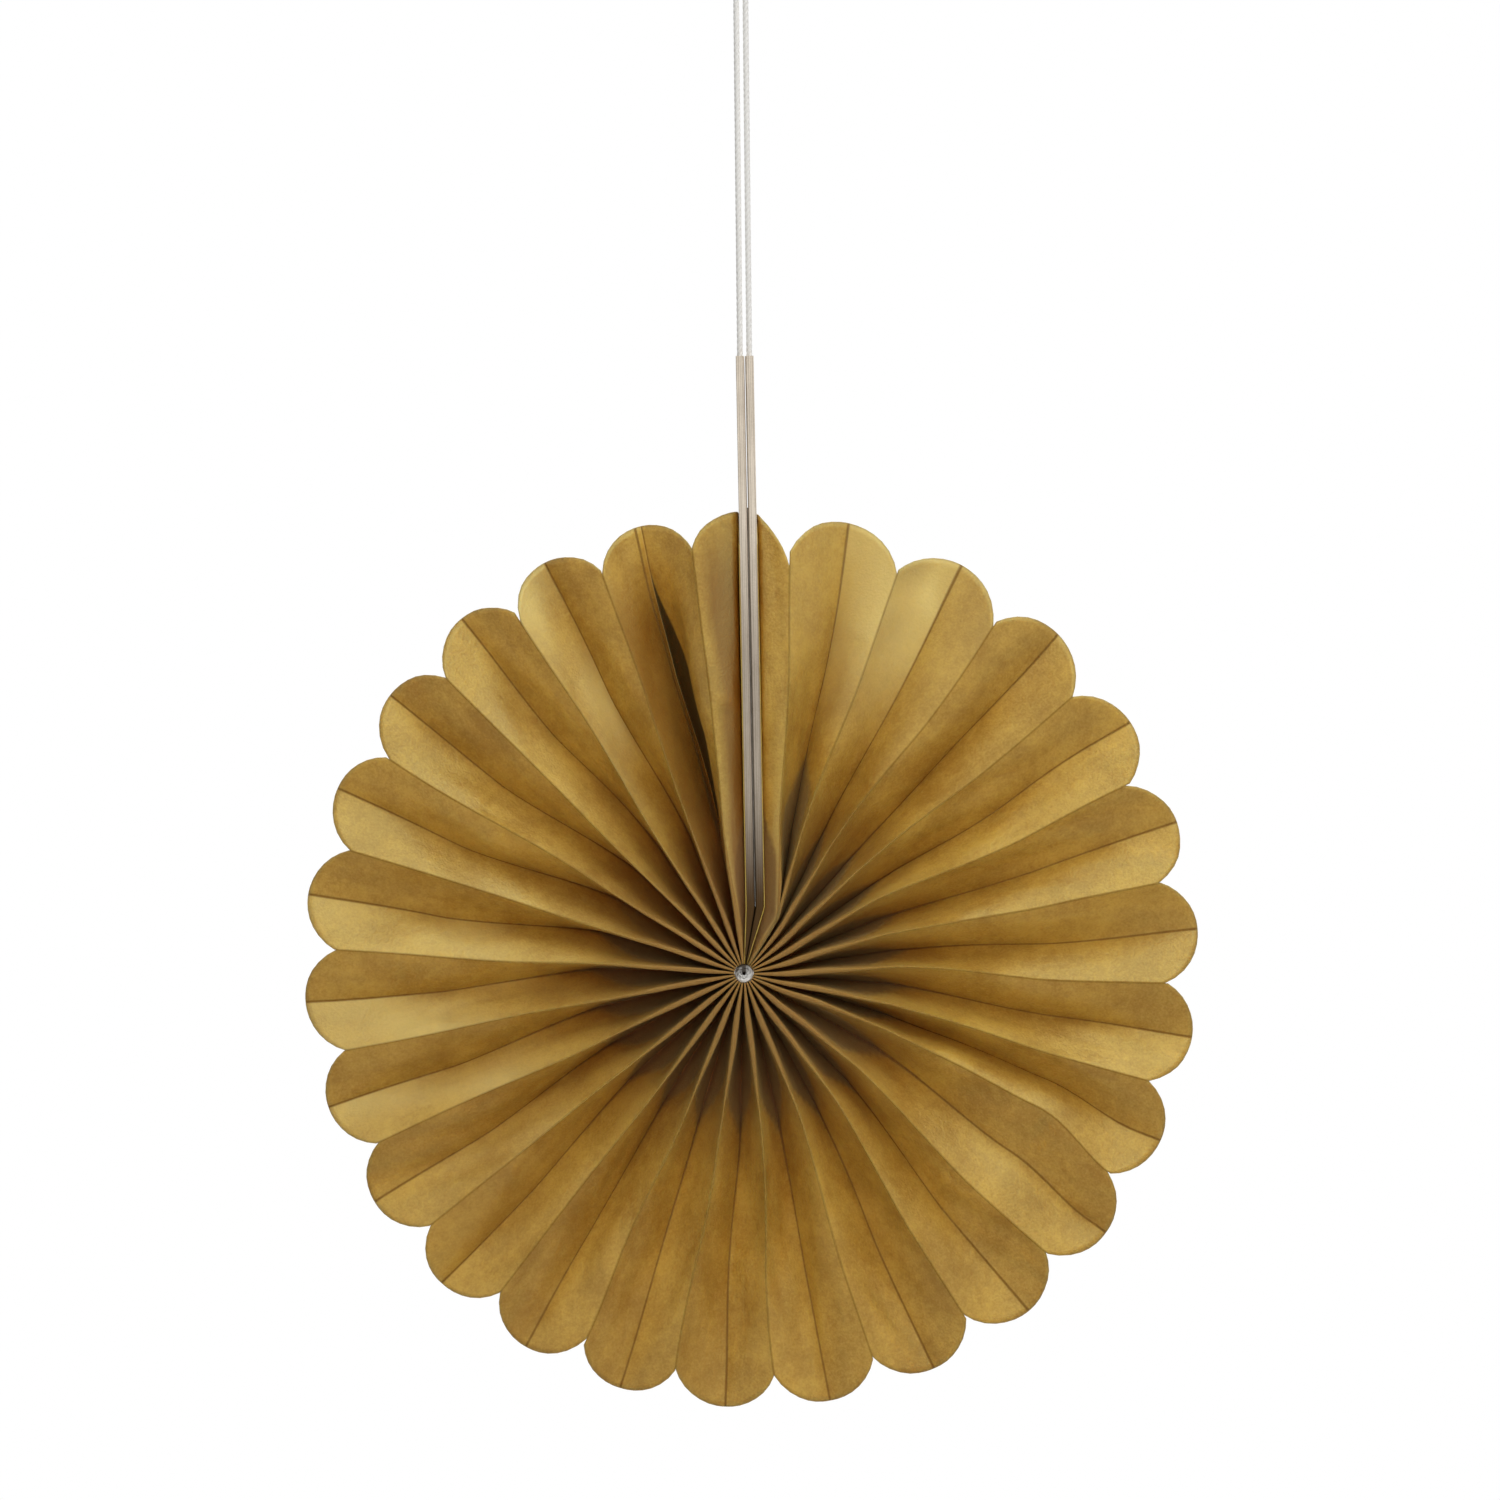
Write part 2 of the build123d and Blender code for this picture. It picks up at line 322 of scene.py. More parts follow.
PACK_HALF = STRIP_THICKNESS + TAPE_THICKNESS / 2  # half of both strips and their tape
LEAN_SLOPE = math.tan(math.radians(STRIP_LEAN))
RIGHT, LEFT = 1, -1
print(f"sheet: {PANELS} panels of {PLEAT_WIDTH} mm")

# %% Where the folds reach the rim
share = np.arange(PETALS) / (PETALS - 1)
drift = sum(size * np.sin(halves * np.pi * share) for halves, size in SPACING_DRIFT.items())
ridge_bearing = FIRST_RIDGE + (LAST_RIDGE - FIRST_RIDGE) * share + drift
rim_bearing = np.zeros(PANELS + 1)
rim_bearing[1::2] = ridge_bearing
rim_bearing[2:-1:2] = (ridge_bearing[:-1] + ridge_bearing[1:]) / 2
print("front folds at", np.round(ridge_bearing, 1))

# %% Where the sheet ends, beside the strips
END_GAP = 0.15  # how far the left end stands off its strip at the back


def ramp(start, end, value):
    """0 at start and 1 at end, smoothly, and clamped outside: the cubic 3t^2 - 2t^3."""
    t = np.clip((value - start) / (end - start), 0, 1)
    return t * t * (3 - 2 * t)


def strip_axis(z):
    """X of the middle of the two strips at a height: they lean a little."""
    return (STRIP_TOP_Z - z) * LEAN_SLOPE


def sheet_end(side, radius):
    """Bearing and distance from the hub of the sheet's end: it follows a strip's outer face down
    to the strip's taper and then runs straight to the hub."""
    height = np.maximum(radius, STRIP_TAPER)
    x = strip_axis(HUB_Z + height) + side * (PACK_HALF + PAPER / 2) - HUB_X
    return np.degrees(np.arctan2(x, height)), np.hypot(x, height) * radius / height


def end_lean(radius, depth_share):
    """Degrees by which the left end leans off its strip: none at the front and most at the back."""
    gap = END_GAP * depth_share * ramp(16, 34, radius) * ramp(75, 60, radius)
    return np.degrees(gap / np.maximum(radius, 1))


print("sheet's ends at", [round(float(sheet_end(side, TIP_RADIUS)[0]), 1) for side in (RIGHT, LEFT)])

# %% How the folds run from the rim to the hub
LAPPED_FOLD, LAP = 17, 4.3  # a petal that lies over its neighbour, by so many degrees
POCKET_FOLD, POCKET_DEPTH = 50, 3.2  # beside the strips one back fold opens into a deep pocket
push_fade = 1.75 * np.exp(-(rim_bearing - FIRST_RIDGE) / 16)  # how much each fold is pushed aside
front_turn = -1.6 - 1.9 * np.cos(np.radians(rim_bearing - 95))  # degrees, near the hub
back_lean = (0.19 + 0.22 * np.cos(np.radians(rim_bearing - 310))) * ramp(5, 45, rim_bearing)


def in_pocket(radius):
    """1 along the pocket and 0 at its two ends."""
    return ramp(20, 28, radius) * ramp(72, 54, radius)


def near_hub(radius):
    """1 about a third of the way out, where the folds lean most, and 0 at the eye and far out."""
    return np.clip((52 - radius) / 27, 0, 1) ** 1.5 * ramp(3, 14, radius)


def front_bearing(fold, radius):
    """Bearing of front folds at radii: at the rim, plus the push of the strips, which soon fades
    round the fan, plus a turn near the hub that goes once round as a cosine."""
    push = sheet_end(RIGHT, radius)[0] - sheet_end(RIGHT, TIP_RADIUS)[0]
    lap = LAP * ramp(71, 54, radius) * ramp(0.5, 4, radius) * (fold == LAPPED_FOLD)
    return rim_bearing[fold] + push * push_fade[fold] + front_turn[fold] * near_hub(radius) - lap


def fold_bearing(fold, radius):
    """Bearing of any folds at radii. A back fold lies between the front folds beside it, midway at
    the rim and leaning to one of them near the hub. Fold 0 and the last are the sheet's ends."""
    before, after = np.clip(fold - 1, 1, PANELS - 1), np.clip(fold + 1, 1, PANELS - 1)
    share = 0.5 + back_lean[fold] * near_hub(radius)
    back = front_bearing(before, radius) * (1 - share) + front_bearing(after, radius) * share
    back = back + 0.5 * in_pocket(radius) * (fold == POCKET_FOLD)
    inner = np.where(fold % 2 == 1, front_bearing(fold, radius), back)
    inner = np.where(fold == 0, sheet_end(RIGHT, radius)[0], inner)
    return np.where(fold == PANELS, sheet_end(LEFT, radius)[0] + 360 - end_lean(radius, 1), inner)


def around_hub(bearing, distance):
    """X and Z at a bearing and a distance from the hub."""
    angle = np.radians(bearing)
    return HUB_X + distance * np.sin(angle), HUB_Z + distance * np.cos(angle)


print(f"front folds turn by {front_turn.min():.1f} to {front_turn.max():.1f} degrees near the hub")

# %% [markdown]
# ## Scalloped rim
# The folded sheet was cut round at its ends, so each petal is an arc from notch to notch through
# its tip. A line from the hub at any bearing ends where it meets its petal's circle. Right of the
# strips the cut is less even: the first notch is deeper and the sheet's end is nearly straight.

# %% Circles
def reach_to_circle(bearing, x, z, radius):
    """How far a line from the hub runs at a bearing until it leaves a circle: the larger root of
    the quadratic for its crossing."""
    angle = np.radians(bearing)
    ahead = (x - HUB_X) * np.sin(angle) + (z - HUB_Z) * np.cos(angle)
    square = ahead**2 - (x - HUB_X) ** 2 - (z - HUB_Z) ** 2 + radius**2
    return ahead + np.sqrt(np.maximum(square, 0))


def circle_through(a, b, c):
    """Centre and radius of the circles through three points each: the point whose squared
    distances to all three are equal."""
    ab, ac = b - a, c - a
    cross = 2 * (ab[0] * ac[1] - ab[1] * ac[0])
    bb, cc = (ab**2).sum(0), (ac**2).sum(0)
    centre = np.stack([ac[1] * bb - ab[1] * cc, ab[0] * cc - ac[0] * bb]) / cross
    return a[0] + centre[0], a[1] + centre[1], np.hypot(*centre)


def on_rim(bearing, rim_radius):
    """Points at bearings from the hub and at a distance from the rim's centre."""
    return np.stack(around_hub(bearing, reach_to_circle(bearing, 0, RIM_Z, rim_radius)))


# %% Arcs of the petals
DEEPER = 2.2  # how much deeper the first notch is
END_BULGE = 0.6  # how far the right end's cut bulges
notches = on_rim(rim_bearing[1::2], TIP_RADIUS - NOTCH_DEPTH)
notches[:, 0] = on_rim(rim_bearing[1], TIP_RADIUS - NOTCH_DEPTH - DEEPER)
tips = on_rim(rim_bearing[2:-1:2], TIP_RADIUS)
petal_arcs = circle_through(notches[:, :-1], tips, notches[:, 1:])
rim_top = RIM_Z + TIP_RADIUS
right_top = np.array([strip_axis(rim_top) + PACK_HALF, rim_top])
bulge = (right_top + notches[:, 0]) / 2 + END_BULGE
right_arc = circle_through(notches[:, 0], bulge, right_top)
left_x, left_drop = strip_axis(rim_top) - PACK_HALF, rim_top - notches[1, -1]
left_radius = ((notches[0, -1] - left_x) ** 2 + left_drop**2) / (2 * left_drop)
left_arc = left_x, rim_top - left_radius, left_radius  # level where it meets the strip
petal_x, petal_z, petal_radius = (
    np.concatenate([[right], petals, [left]])
    for right, petals, left in zip(right_arc, petal_arcs, left_arc))
print(f"petal arcs: radius {petal_radius[1:-1].min():.1f} to {petal_radius[1:-1].max():.1f} mm")

# %% [markdown]
# ## The pleats
# A panel keeps its width, so where the folds are close together the sheet stands deep, and at the
# rim it lies flatter. The front folds are soft bends of tissue and the back folds are sharp
# creases. Near the hub the thread pinches the front folds into narrow bands with dark gaps between
# them. No panel is quite flat: each one bows and ripples a little, by seeded waves.

# %% Columns across the panels and rows out from the hub
BEND = 0.16  # the share of a column's run that goes round a front fold
ROWS = 74
panel_run = np.array([0, 0.08, BEND, 0.168, 0.25, 0.37, 0.5, 0.63, 0.76, 0.88, 0.955, 0.985, 1.0])
petal_run = np.concatenate([panel_run[:0:-1], panel_run[:-1]])
run = np.append(np.tile(petal_run, PETALS), 1.0)[:, None]
panel = np.append(np.repeat(np.arange(PANELS), len(panel_run) - 1), PANELS - 1)[:, None]
out = np.linspace(0, 1, ROWS)[None, :] ** 1.1  # rows are a little closer near the hub
print(f"sheet: {len(run)} columns and {out.size} rows")

# %% Waves, dents and curled tips
rng = np.random.default_rng(11)


def waves(count, strength, radial, cross=0.0):
    """A function of (index, radius, part): the mean of three sine waves with their own phase for
    each index, with up to so many periods along a radius and across a panel."""
    phase = rng.uniform(0, 2 * np.pi, (3, count))
    periods = rng.uniform(0.35, 1.0, (3, count)) * radial
    across = rng.uniform(-1.0, 1.0, (3, count)) * cross

    def wave(index, radius, part=0.0):
        total = 0
        for k in range(3):
            turns = periods[k][index] * radius / TIP_RADIUS + across[k][index] * part
            total = total + np.sin(2 * np.pi * turns + phase[k][index])
        return strength * total / 3

    return wave


fold_sway = waves(PANELS + 1, 0.45, 2.2)
fold_rise = waves(PANELS + 1, 0.5, 1.6)
panel_bow = waves(PANELS, 0.9, 1.1)
panel_ripple = waves(PANELS, 0.32, 5.0, 1.6)
painted_sheen_patch = waves(PANELS, 1.0, 3.0, 0.8)
dent_size = rng.uniform(0.0, 0.4, PANELS)  # each panel was pressed in somewhere in handling
dent_at = rng.uniform(34, 62, PANELS)
dent_size[[51, 17]] = 0.8, 0.6
dent_at[[51, 17]] = 46, 58
tip_curl = np.zeros(PANELS)  # and a few tips are bent back
tip_curl[[3, 29, 34, 47]] = 1.5, 0.6, 0.7, 0.5
print(f"dents up to {dent_size.max()} mm, {np.count_nonzero(tip_curl)} curled tips")

# %% Where a fold lies
FLATTEST = 0.9  # share of its width over which a panel may spread sideways
RIM_FLATTER = 0.28  # share of their depth that the pleats lose towards the rim
END_FORWARD = 2.0  # how far the front folds beside the strips come forward
TOP_RIGHT_BACK = 2.2  # how far the petals right of the strips lie back at the rim


def fold_place(fold, radius):
    """Bearing and y of folds at radii. A fold's y is half of the depth that a panel needs to span
    the room beside it, to the front for odd folds, with a little sway and rise of its own."""
    before, after = np.maximum(fold - 1, 0), np.minimum(fold + 1, PANELS)
    bearing = fold_bearing(fold, radius)
    apart = np.radians(fold_bearing(after, radius) - fold_bearing(before, radius))
    room = np.minimum(apart * radius / (after - before), FLATTEST * PLEAT_WIDTH)
    depth = np.sqrt(PLEAT_WIDTH**2 - room**2) * (1 - RIM_FLATTER * ramp(14, 43, radius))
    free = (fold > 0) & (fold < PANELS)
    loose = np.clip((radius - 12) / 20, 0, 1) * free
    sway = np.degrees(fold_sway(fold, radius) / np.maximum(radius, 1)) * loose
    y = np.where(fold % 2 == 1, -depth / 2, np.where(free, depth / 2, STRIP_WIDTH / 2))
    y = y + POCKET_DEPTH * in_pocket(radius) * (fold == POCKET_FOLD)
    y = y - END_FORWARD * ramp(24, 50, radius) * np.isin(fold, [1, PANELS - 1])
    top_right = np.exp(-(((bearing - 20) / 14) ** 2)) * ramp(54, 75, radius) * free
    y = y + TOP_RIGHT_BACK * top_right
    return bearing + sway, y + fold_rise(fold, radius) * loose


# %% One panel's profile
def swing_and_drop(panel, straight, ridge_at, radius):
    """Shares of its way aside and of its way back that a panel has gone at a share of its straight
    part. Near the hub it keeps close to its front fold and swings aside late, by the fourth power.
    The panels beside the strips drop late, and the pocket's panel turns back on itself."""
    pinch = 0.1 + 0.7 * np.exp(-(((ridge_at - 212) / 52) ** 2))
    pinch = pinch * (1 - np.clip((radius - 17) / 8, 0, 1) ** 2)
    swing = (1 - pinch) * straight + pinch * straight**4
    late = np.interp(straight, [0, 0.25, 0.98, 1], [0, 0.03, 0.17, 1])
    drop = np.where(np.isin(panel, [0, PANELS - 1]), late, straight)
    pocket = in_pocket(radius) * (panel == POCKET_FOLD)
    swing = swing + pocket * (np.interp(straight, [0, 0.5, 0.75, 1], [0, 0.48, 0.53, 1]) - swing)
    drop = drop + pocket * (np.interp(straight, [0, 0.5, 0.75, 1], [0, 0.22, 0.6, 1]) - drop)
    return swing, drop


def lift_of(panel, straight, radius):
    """How far a panel bulges to the front: its bow and ripples, most at its middle and away from
    the hub, plus its dent, less the curl of its tip. A dent rises slowly inwards to its sharp edge
    and falls at once, and it is highest, at 1 by the factor 6.75, a third of the way across."""
    belly = 4 * straight * (1 - straight)
    spread = np.clip((radius - 14) / 30, 0, 1)
    lift = belly * spread * (panel_bow(panel, radius) + panel_ripple(panel, radius, straight))
    inward = np.interp(radius - dent_at[panel], [-2.0, 0, 14], [0, 1, 0])
    dent = dent_size[panel] * inward * 6.75 * straight * (1 - straight) ** 2
    return lift + dent - tip_curl[panel] * belly * ramp(66, 74, radius)


def pleated(panel, run, radius):
    """Points of the sheet's middle. The run goes from a panel's front fold (0) to its back fold
    (1): first an arc round the front fold that turns by the panel's slope, then straight on."""
    ridge_at, ridge_y = fold_place(panel + 1 - panel % 2, radius)
    valley_at, valley_y = fold_place(panel + panel % 2, radius)
    room = np.abs(np.radians(valley_at - ridge_at)) * radius
    depth = valley_y - ridge_y
    slope = np.arctan2(depth, room)
    bend = np.minimum(0.45 - 0.39 * ramp(8, 26, radius), 0.45 * room)  # the arc's radius
    turn = slope * np.clip(run / BEND, 0, 1)
    straight = np.clip((run - BEND) / (1 - BEND), 0, 1)
    swing, drop = swing_and_drop(panel, straight, ridge_at, radius)
    lift = lift_of(panel, straight, radius)
    aside = bend * np.sin(turn) + (room - bend * np.sin(slope)) * swing + lift * np.sin(slope)
    back = bend * (1 - np.cos(turn)) + (depth - bend * (1 - np.cos(slope))) * drop
    bearing = ridge_at + (valley_at - ridge_at) * aside / room
    x, z = around_hub(bearing, radius)
    return np.stack([x, ridge_y + (back - lift * np.cos(slope)), z], -1)


# %% [markdown]
# ## The two glued ends
# The sheet's first and last panels are glued to the strips' outer faces, and their tops were cut
# round with the rest. They carry on the same grid, past the first and the last fold.

# %% Glued ends
flap_y = np.array([-0.5, -0.48, -0.3, -0.1, 0.1, 0.3, 0.48])[:, None] * STRIP_WIDTH
flap_radius = (STRIP_WIDTH**2 + NOTCH_DEPTH**2) / (2 * NOTCH_DEPTH)
flap_top = rim_top - PAPER - flap_radius + np.sqrt(flap_radius**2 - (STRIP_WIDTH / 2 - flap_y) ** 2)


def glued_end(side):
    """Points of an end panel on a strip's outer face, from the strip's front edge to its back: a
    line up the face at each y, as high as an arc that is level at the back."""
    radius = EYE_RADIUS + (flap_top - HUB_Z - EYE_RADIUS) * out
    bearing, distance = sheet_end(side, radius)
    lean = end_lean(radius, flap_y / STRIP_WIDTH + 0.5) * (side == LEFT)
    x, z = around_hub(bearing - lean, distance)
    return np.stack([x, np.broadcast_to(flap_y, x.shape), z], -1)


print(f"glued ends: {len(flap_y)} columns each")

# %% The whole sheet
FRONT_SHARE = 0.3  # share of the paper's thickness that lies in front of its worked-out middle


def rim_reach(panel, run):
    """Distance from the hub to the cut rim for each column: its bearing there, by the profile, and
    then the reach to its petal's circle."""
    points = pleated(panel, run, np.full(run.shape, TIP_RADIUS - NOTCH_DEPTH))
    bearing = np.degrees(np.arctan2(points[..., 0] - HUB_X, points[..., 2] - HUB_Z))
    petal = (panel + 1) // 2
    return reach_to_circle(bearing, petal_x[petal], petal_z[petal], petal_radius[petal])


reach = rim_reach(panel, run)
radius = EYE_RADIUS + (reach - EYE_RADIUS) * out
middle = np.concatenate([glued_end(RIGHT), pleated(panel, run, radius), glued_end(LEFT)[::-1]])
across, outward = np.gradient(middle, axis=0), np.gradient(middle, axis=1)
normal = np.cross(across, outward)
normal /= np.maximum(np.linalg.norm(normal, axis=-1, keepdims=True), 1e-9)
front = middle + normal * PAPER * FRONT_SHARE
rear = middle - normal * PAPER * (1 - FRONT_SHARE)
columns, rows = middle.shape[:2]
skin = np.concatenate([front, rear[:, ::-1]], axis=1)
edge = np.arange(rows - 1)
first_end = np.stack([edge, edge + 1, 2 * rows - 2 - edge, 2 * rows - 1 - edge], -1)
last_end = first_end[:, ::-1] + (columns - 1) * 2 * rows
paper_faces = [grid_faces(columns, 2 * rows), first_end, last_end]
print(f"sheet with its ends: {columns} columns, {rows} rows on each side")

# %% [markdown]
# ## Painted light and shade of the paper
# Shade and a pale sheen are painted into the paper's colour where the lamps alone don't give them:
# painted shade makes the hollows near the hub nearly black and darkens the panels beside the
# strips and some panels on the lower left, and a painted sheen turns the paper pale in three places.
# Each of these is a number from 0 to 1 for every point of the front.

# %% Painted shade in the hollows and beside the strips, and a painted sheen
straight_run = np.clip((run - BEND) / (1 - BEND), 0, 1)
panel_bearing = rim_bearing[panel]
at_strip = np.isin(panel, [0, PANELS - 1])
panel_tone = rng.uniform(0, 1, PANELS)


def near_bearing(bearing, width):
    """1 for the panels at a bearing, and less by a bell curve of so many degrees to both sides."""
    return np.exp(-(((panel_bearing - bearing) / width) ** 2))


inward = radius - 11 * np.isin(panel, [1, 2])  # two hollows right of the strips reach further out
deep_from = np.where(panel % 2 == 0, np.interp(inward, [5, 9, 21, 29], [0.3, 0, 0.1, 1.05]),
                     np.interp(inward, [5, 9, 16, 29], [0.3, 0.05, 0.15, 1.05]))
upper_left = ramp(275, 300, panel_bearing) * ramp(356, 346, panel_bearing)
right_hub = ramp(10, 30, panel_bearing) * ramp(140, 110, panel_bearing) * ramp(14, 8, radius)
# The darkness of the hollows near the hub is painted shade, deepest towards each panel's back fold.
painted_hollow_shade = ramp(-0.02, 0.2, straight_run - deep_from) * (1 - 0.8 * upper_left) * (1 - 0.75 * right_hub)

# Painted shade: left of the pocket, over the left end panel towards its strip, along the right
# end panel by its strip, and on every other panel at the lower left.
shade = 0.62 * ramp(76, 58, radius) * (panel == POCKET_FOLD - 1)
shade = shade + 0.95 * ramp(0.05, 0.45, straight_run) * ramp(80, 62, radius) * (panel == PANELS - 1)
shade = shade + 0.35 * ramp(0.7, 0.95, straight_run) * (panel == 0)
lower_left = near_bearing(225, 58) * ramp(30, 42, radius) * ramp(76, 60, radius)
shade = shade + 0.24 * lower_left * (panel % 2 == 0)

# A painted highlight: a pale sheen painted on every other panel at the left and on the petals
# right of the strips.
facing_left = (panel % 2 == 1) & (panel < POCKET_FOLD - 1)
painted_sheen = (near_bearing(256, 24) + 0.9 * near_bearing(330, 12)) * facing_left * ramp(24, 46, radius)
painted_sheen = painted_sheen * (0.42 + 0.5 * painted_sheen_patch(panel, radius, straight_run))
painted_sheen = painted_sheen + 0.8 * near_bearing(18, 9) * ramp(36, 64, radius) * (panel > 0)
painted_sheen = np.clip(painted_sheen, 0, 1)
print(f"mean hollow {painted_hollow_shade.mean():.2f}, shade {shade.mean():.2f}, satin {painted_sheen.mean():.2f}")

# %% Numbers that the paper's finish reads
def on_skin(numbers, flap, front_only=False):
    """Numbers of the columns and rows for every point of the skin, with one number for the flaps,
    and for the rear too where they are for the front only."""
    numbers = np.broadcast_to(numbers, radius.shape)
    ends = np.full((len(flap_y), rows), flap)
    numbers = np.concatenate([ends, numbers, ends])
    rear_numbers = np.full_like(numbers, flap) if front_only else numbers[:, ::-1]
    return np.concatenate([numbers, rear_numbers], axis=1).ravel()


pocket_edge = np.interp(radius, [25, 30, 44, 58, 70], [1, 0.5, 0.52, 0.82, 1])
pocket_edge = PLEAT_WIDTH * np.where(panel == POCKET_FOLD, pocket_edge, 2)
paper_values = {
    "from_valley": on_skin(np.where(at_strip, 0.5, 1 - straight_run) * PLEAT_WIDTH, PLEAT_WIDTH / 2),
    "from_ridge": on_skin(straight_run * PLEAT_WIDTH, PLEAT_WIDTH / 2),
    "from_rim": on_skin(reach - radius, PLEAT_WIDTH),
    "hub_distance": on_skin(radius, TIP_RADIUS / 2),
    "panel_tone": on_skin(panel_tone[panel], 0.5),
    "shaded": on_skin(shade, 0, front_only=True),
    "painted_sheen": on_skin(painted_sheen, 0, front_only=True),
    "painted_hollow_shade": on_skin(painted_hollow_shade, 0, front_only=True),
    "pocket_edge": on_skin(pocket_edge, 2 * PLEAT_WIDTH, front_only=True),
    "seam": on_skin(1.3 * ramp(20, 28, radius) * (panel == POCKET_FOLD - 1), 0),
}
print("numbers:", ", ".join(paper_values))

# %% [markdown]
# ## Mustard tissue
# The paper is dyed tissue: cloudy mottling, fine fibres and a satin sheen that is dull on creases
# and in hollows. The creases are darker, as fold marks and painted shade, and the cut rim is a
# little greyer. Painted shade darkens the panels beside the strips, the front folds, the hub, the
# hollows and the pocket, and painted highlights lighten a pale sheen and the pocket's lip.
# Everything is procedural and reads the place on the piece or the numbers above.

# %% The paper's finish
def mustard_tissue(v):
    """Mottled gold between a deep and a pale tone. Painted shade darkens it beside the strips, on the
    front folds, towards the hub, in the hollows and in the pocket, and the creases are darker as fold
    marks and painted shade. A painted sheen and a painted highlight on the pocket's lip make it
    paler, and it is greyer at the rim."""
    from_valley, from_ridge = v.attribute("from_valley"), v.attribute("from_ridge")
    hub_distance, panel_tone = v.attribute("hub_distance"), v.attribute("panel_tone")
    painted_hollow_shade, seam = v.attribute("painted_hollow_shade"), v.attribute("seam")
    cloud, mottle, fibre = v.noise(110, 4), v.noise(700, 4), v.noise(2400, 3)
    on_panel = v.node("ShaderNodeCombineXYZ", None,
                      {"X": from_valley, "Y": 0.07 * hub_distance, "Z": 9 * panel_tone})
    streak = v.node("ShaderNodeTexNoise", None, {"Vector": on_panel, "Scale": 0.32, "Detail": 2.0})
    tone = 0.42 * cloud + 0.22 * mottle + 0.3 * fibre + 0.14 * streak + 0.08 * panel_tone
    colour = tone.fade(0.37, 0.77).mix((0.282, 0.139, 0.012, 1), (0.50, 0.334, 0.061, 1))
    # painted shade beside the strips and the pocket and on the lower left
    colour = v.attribute("shaded").mix(colour, (0.19, 0.062, 0.003, 1))
    # painted highlight where the pale sheen is painted
    colour = v.attribute("painted_sheen").mix(colour, (0.57, 0.465, 0.18, 1))
    outer = hub_distance.fade(20, 48)
    off_crease = v.math("ABSOLUTE", from_valley - seam)
    # The dark line along each back fold is a fold mark and painted shade in the crease, wider and
    # darker towards the hub.
    crease_mark_and_shade = 1 - (off_crease * (0.2 + 0.5 * outer)).fade(0.06, 0.3)
    colour = ((0.95 - 0.25 * outer) * crease_mark_and_shade).mix(colour, (0.13, 0.042, 0.003, 1))
    # painted shade on the front folds, which keeps their rounded crests from showing pale
    painted_crest_shade = 1 - from_ridge.fade(0.0, 0.3)
    colour = (0.45 * painted_crest_shade).mix(colour, (0.14, 0.06, 0.006, 1))
    # painted shade towards the hub
    hub = 1 - hub_distance.fade(6, 40)
    colour = (0.72 * hub).mix(colour, (0.29, 0.135, 0.042, 1))
    # painted shade in the hollows near the hub
    colour = (0.62 * painted_hollow_shade).mix(colour, (0.12, 0.043, 0.022, 1))
    # painted shade, nearly black, deep inside the pocket
    painted_pocket_shade = (from_ridge - v.attribute("pocket_edge")).fade(0.0, 0.35)
    colour = (0.97 * painted_pocket_shade).mix(colour, (0.02, 0.008, 0.004, 1))
    # a painted highlight along the pocket's lip
    painted_lip_highlight = (1 - from_valley.fade(0.15, 0.4)) * seam.fade(0.6, 1.2)
    colour = (0.5 * painted_lip_highlight).mix(colour, (0.50, 0.36, 0.13, 1))
    rim = 1 - v.attribute("from_rim").fade(0.05, 0.42)
    colour = (0.5 * rim).mix(colour, (0.26, 0.20, 0.09, 1))
    dull = v.math("MAXIMUM", painted_hollow_shade, v.math("MAXIMUM", crease_mark_and_shade, painted_crest_shade)) * (1 - painted_pocket_shade)
    height = 0.4 * mottle + 0.35 * fibre + 0.2 * cloud + 0.25 * streak
    return {"Base Color": colour, "Roughness": 0.41 + 0.1 * mottle + 0.45 * dull,
            "Specular IOR Level": 1.0, "Specular Tint": (0.95, 1.0, 0.44, 1),
            "Subsurface Weight": 0.8, "Subsurface Radius": (1.0, 0.75, 0.4), "Subsurface Scale": 0.0005,
            "Normal": height.bump(0.00022)}


tissue_finish = finish_of("mustard_tissue", mustard_tissue)
make_piece("pleated_tissue", skin.reshape(-1, 3), paper_faces, tissue_finish,
           ["pleated_paper"], paper_values)

# %% [markdown]
# ## Card strips
# Two strips of grey board stand edge on to the viewer. Their cut edges show faint plies and loose
# fibres. Each one is a rounded outline carried up along the leaning strip, over its top and down
# into the hole where the cord is glued.

# %% A strip's outline
CORNER = 0.22


def rounded_outline(points_side=9, points_edge=5, points_corner=4):
    """A closed outline (across from 0 to 1, y), counter-clockwise seen from above: four quarter
    arcs at the corners, and points along the sides between them."""
    half_x, half_y = STRIP_THICKNESS / 2 - CORNER, STRIP_WIDTH / 2 - CORNER
    arcs = []
    corners = [(half_x, half_y), (-half_x, half_y), (-half_x, -half_y), (half_x, -half_y)]
    for k, (x, y) in enumerate(corners):
        turn = np.linspace(0, np.pi / 2, points_corner) + k * np.pi / 2
        arcs.append(np.stack([x + CORNER * np.cos(turn), y + CORNER * np.sin(turn)], -1))
    pieces = []
    for k, arc in enumerate(arcs):
        count = points_edge if k % 2 == 0 else points_side
        between = np.linspace(arc[-1], arcs[(k + 1) % 4][0], count + 2)[1:-1]
        pieces += [arc, between]
    outline = np.concatenate(pieces)
    return outline[:, 0] / STRIP_THICKNESS + 0.5, outline[:, 1]


# %% A strip's surface
STRIP_LOW = 1.4  # from the hub up to the strips' lower ends
TAPE_LOW = 12.0  # from the hub up to the tape
FOOT_CLOSER = 0.06  # how far each strip's inner face bulges where there is no tape
EDGE_APART = 0.13  # how far the inner faces are rounded off at the front
HOLE_RADIUS = CORD_DIAMETER / 2 + 0.04
HOLE_DEPTH = 6.0


